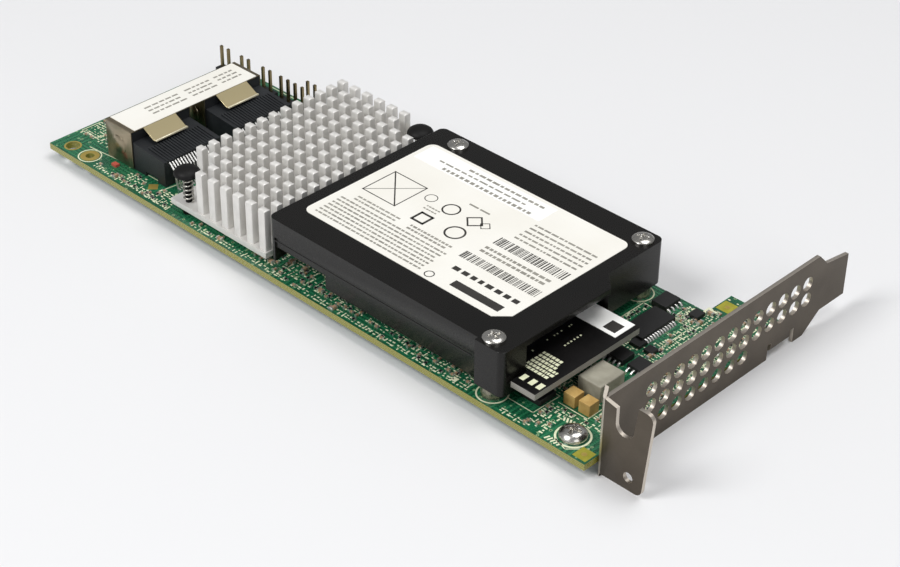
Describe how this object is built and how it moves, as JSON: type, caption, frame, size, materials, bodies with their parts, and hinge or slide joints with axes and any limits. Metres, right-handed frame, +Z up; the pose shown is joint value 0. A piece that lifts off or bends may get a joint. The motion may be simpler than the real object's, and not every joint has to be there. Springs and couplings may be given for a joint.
{
  "type": "raid controller card",
  "caption": "Low-profile expansion card with a pin-fin heat sink, two drive connectors, a battery pack under a black cover and a vented bracket.",
  "frame": {"origin": "under the middle of the whole card, on the level of the bracket's lower edge and the push pins' ends", "axes": "+X along the board from the drive connectors to the bracket, +Y from the board's top edge to its slot edge, +Z up from the component side"},
  "size_m": [0.1807, 0.0822, 0.0209],
  "materials": {
    "board_laminate": "green solder mask over glass laminate",
    "contact_gold": "gilded contacts",
    "bracket_steel": "nickel plated sheet steel, satin",
    "screw_steel": "nickel plated screws",
    "shell_nickel": "nickel plated sheet",
    "housing_plastic": "black moulded plastic",
    "contact_tin": "tinned contacts",
    "label_paper": "off-white coated paper",
    "sink_aluminium": "matt cast aluminium",
    "pin_plastic": "black nylon",
    "spring_steel": "bright spring wire",
    "chip_epoxy": "black moulded epoxy",
    "chip_package": "chip substrate and cap",
    "thermal_rubber": "grey thermal pad",
    "battery_plastic": "near-black satin moulding",
    "cell_wrap": "grey film wrap",
    "deck_laminate": "black laminate with pale edges",
    "header_plastic": "black moulded plastic",
    "inductor_grey": "grey moulded ferrite",
    "capacitor_tan": "tan ceramic",
    "standoff_brass": "plated brass"
  },
  "bodies": {
    "root": {"main_board": "board_laminate", "edge_fingers": "contact_gold", "bracket": "bracket_steel", "bracket_screw": "screw_steel", "sas_shell_a": "shell_nickel", "sas_housing_a": "housing_plastic", "sas_contacts_a": "contact_tin", "sas_shell_b": "shell_nickel", "sas_housing_b": "housing_plastic", "sas_contacts_b": "contact_tin", "connector_label": "label_paper", "heat_sink": "sink_aluminium", "push_pin_a": "pin_plastic", "push_pin_spring_a": "spring_steel", "push_pin_b": "pin_plastic", "push_pin_spring_b": "spring_steel", "controller_chip": "chip_package", "thermal_pad": "thermal_rubber", "memory_chips": "chip_epoxy", "battery_cover": "battery_plastic", "battery_standoffs": "standoff_brass", "battery_cover_screws": "screw_steel", "battery_cell": "cell_wrap", "battery_board": "deck_laminate", "board_receptacle": "housing_plastic", "board_plug": "housing_plastic", "battery_label": "label_paper", "board_sticker": "label_paper", "header_bases": "header_plastic", "header_pins": "contact_gold", "inductor": "inductor_grey", "capacitors": "capacitor_tan", "soic_chips": "chip_epoxy", "driver_chip": "chip_epoxy", "monitor_chip": "chip_epoxy"}
  },
  "joints": []
}
